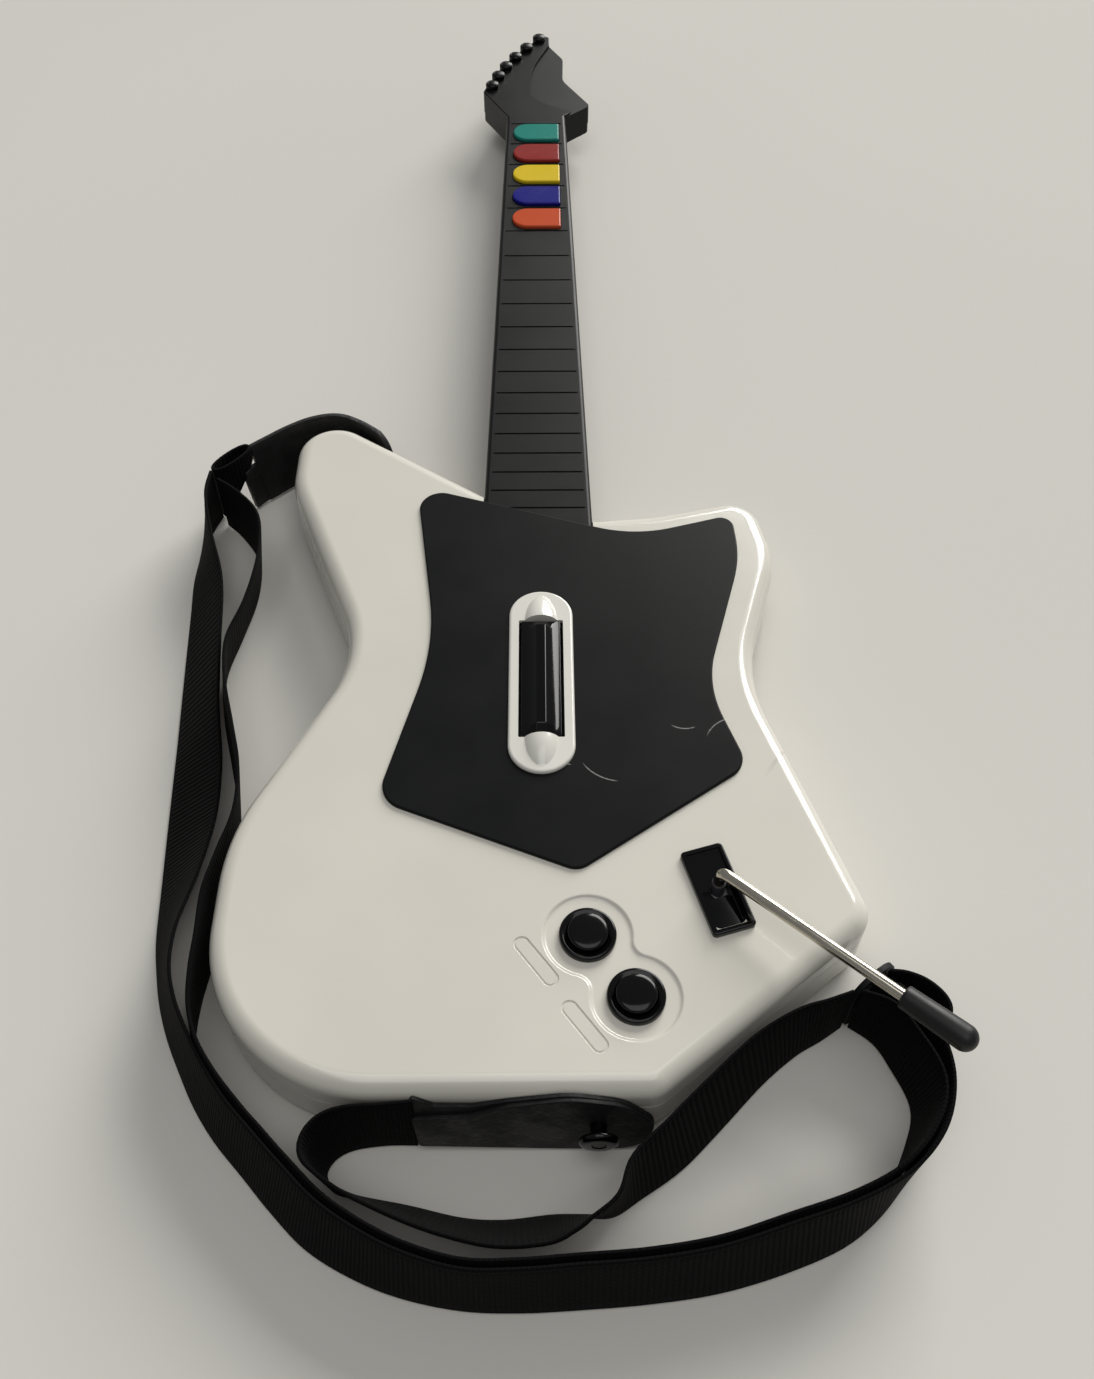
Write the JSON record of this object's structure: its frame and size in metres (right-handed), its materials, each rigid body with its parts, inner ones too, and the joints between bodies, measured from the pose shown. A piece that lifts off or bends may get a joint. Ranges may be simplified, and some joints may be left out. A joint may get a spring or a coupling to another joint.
{
  "type": "toy electric guitar",
  "caption": "Guitar-shaped game controller with coloured fret buttons, a rocking strum bar, a sprung whammy bar and a webbing shoulder strap, lying on its back.",
  "frame": {"origin": "on the flat back face, under the middle of the strum bar", "axes": "+X across the body to the whammy-bar side, +Y along the neck to the headstock, +Z out of the front"},
  "size_m": [0.3737, 0.9336, 0.073],
  "materials": {
    "body_white": "gloss moulded shell, warm white",
    "bezel_white": "gloss moulded, warm white",
    "pickguard_black": "satin black sheet with fine scratches",
    "strum_black": "high gloss black",
    "button_black": "gloss black",
    "steel": "turned steel",
    "inner_black": "dark moulded plastic",
    "inner_grey": "grey moulded plastic",
    "neck_black": "fine textured satin black",
    "fret_green": "semi gloss teal green",
    "fret_red": "semi gloss red",
    "fret_yellow": "semi gloss yellow",
    "fret_blue": "semi gloss blue",
    "fret_orange": "semi gloss orange",
    "rod_nickel": "worn warm nickel",
    "grip_rubber": "smooth black rubber",
    "pad_rubber": "grey silicone",
    "board_green": "printed circuit board",
    "can_metal": "tinned shield",
    "cell_wrap": "wrapped battery cells",
    "contact_metal": "sprung contacts",
    "screw_black": "blackened screws",
    "strap_button_black": "gloss black",
    "leather_black": "black imitation leather, worn grey edges",
    "webbing_black": "ribbed woven webbing",
    "slider_black": "moulded black"
  },
  "bodies": {
    "guitar": {"front_shell": "body_white", "back_shell": "body_white", "pickguard": "pickguard_black", "strum_bezel": "bezel_white", "strum_axle": "steel", "strum_frame": "inner_black", "strum_switches": "inner_black", "strum_springs": "steel", "frame_screws": "steel", "select_bezel": "button_black", "start_bezel": "button_black", "button_pad": "pad_rubber", "button_board": "board_green", "whammy_escutcheon": "button_black", "whammy_pin": "steel", "whammy_spring": "steel", "whammy_sensor": "inner_grey", "main_board": "board_green", "radio_module": "can_metal", "tilt_sensor": "inner_black", "battery_cells": "cell_wrap", "battery_contacts": "contact_metal", "switch_body": "inner_grey", "body_screws": "screw_black", "neck_front": "neck_black", "neck_back": "neck_black", "fret_pad": "pad_rubber", "fret_board": "board_green", "neck_screws": "screw_black", "neck_cable": "inner_black", "tuning_pegs": "strum_black", "strap_button_upper": "strap_button_black", "strap_button_lower": "strap_button_black", "strap_button_screws": "screw_black", "strap_tab_upper": "leather_black", "strap_tab_lower": "leather_black", "strap_loop": "webbing_black", "strap_webbing_single": "webbing_black", "strap_webbing_inner": "webbing_black", "strap_webbing_outer": "webbing_black", "strap_slider": "slider_black"},
    "strum": {"strum_bar": "strum_black"},
    "green_fret": {"green_fret_button": "fret_green"},
    "red_fret": {"red_fret_button": "fret_red"},
    "yellow_fret": {"yellow_fret_button": "fret_yellow"},
    "blue_fret": {"blue_fret_button": "fret_blue"},
    "orange_fret": {"orange_fret_button": "fret_orange"},
    "select": {"select_button": "button_black"},
    "start": {"start_button": "button_black"},
    "whammy_base": {"whammy_carrier": "inner_grey", "whammy_ferrule": "inner_black"},
    "whammy_arm": {"whammy_rod": "rod_nickel", "whammy_grip": "grip_rubber"},
    "door": {"battery_door": "body_white"},
    "switch": {"power_switch": "inner_black"}
  },
  "joints": [
    {"name": "strum_rock", "type": "hinge", "parent": "guitar", "child": "strum", "pos_m": [0.0015, 0.0016, 0.0365], "axis": [0, 1, 0], "range_deg": [-6, 6], "stiffness_Nm_per_rad": 0.4, "deforming": ["strum_springs"]},
    {"name": "green_press", "type": "slide", "parent": "guitar", "child": "green_fret", "axis": [0, 0, -1], "range_m": [0, 0.0018], "stiffness_N_per_m": 500},
    {"name": "red_press", "type": "slide", "parent": "guitar", "child": "red_fret", "axis": [0, 0, -1], "range_m": [0, 0.0018], "stiffness_N_per_m": 500},
    {"name": "yellow_press", "type": "slide", "parent": "guitar", "child": "yellow_fret", "axis": [0, 0, -1], "range_m": [0, 0.0018], "stiffness_N_per_m": 500},
    {"name": "blue_press", "type": "slide", "parent": "guitar", "child": "blue_fret", "axis": [0, 0, -1], "range_m": [0, 0.0018], "stiffness_N_per_m": 500},
    {"name": "orange_press", "type": "slide", "parent": "guitar", "child": "orange_fret", "axis": [0, 0, -1], "range_m": [0, 0.0018], "stiffness_N_per_m": 500},
    {"name": "select_press", "type": "slide", "parent": "guitar", "child": "select", "axis": [0, 0, -1], "range_m": [0, 0.0015], "stiffness_N_per_m": 600},
    {"name": "start_press", "type": "slide", "parent": "guitar", "child": "start", "axis": [0, 0, -1], "range_m": [0, 0.0015], "stiffness_N_per_m": 600},
    {"name": "whammy_tilt", "type": "hinge", "parent": "guitar", "child": "whammy_base", "pos_m": [0.08088, -0.11609, 0.03], "axis": [0.9588, 0.284, 0], "range_deg": [0, 10], "stiffness_Nm_per_rad": 0.8, "springref_deg": -6.88, "deforming": ["whammy_spring"]},
    {"name": "whammy_swivel", "type": "hinge", "parent": "whammy_base", "child": "whammy_arm", "pos_m": [0.08088, -0.11609, 0.04], "axis": [0, 0, 1], "range_deg": [-40, 80]},
    {"name": "door_slide", "type": "slide", "parent": "guitar", "child": "door", "axis": [0, 0, -1], "range_m": [0, 0.03]},
    {"name": "switch_slide", "type": "slide", "parent": "guitar", "child": "switch", "axis": [1, 0, 0], "range_m": [0, 0.004]}
  ]
}
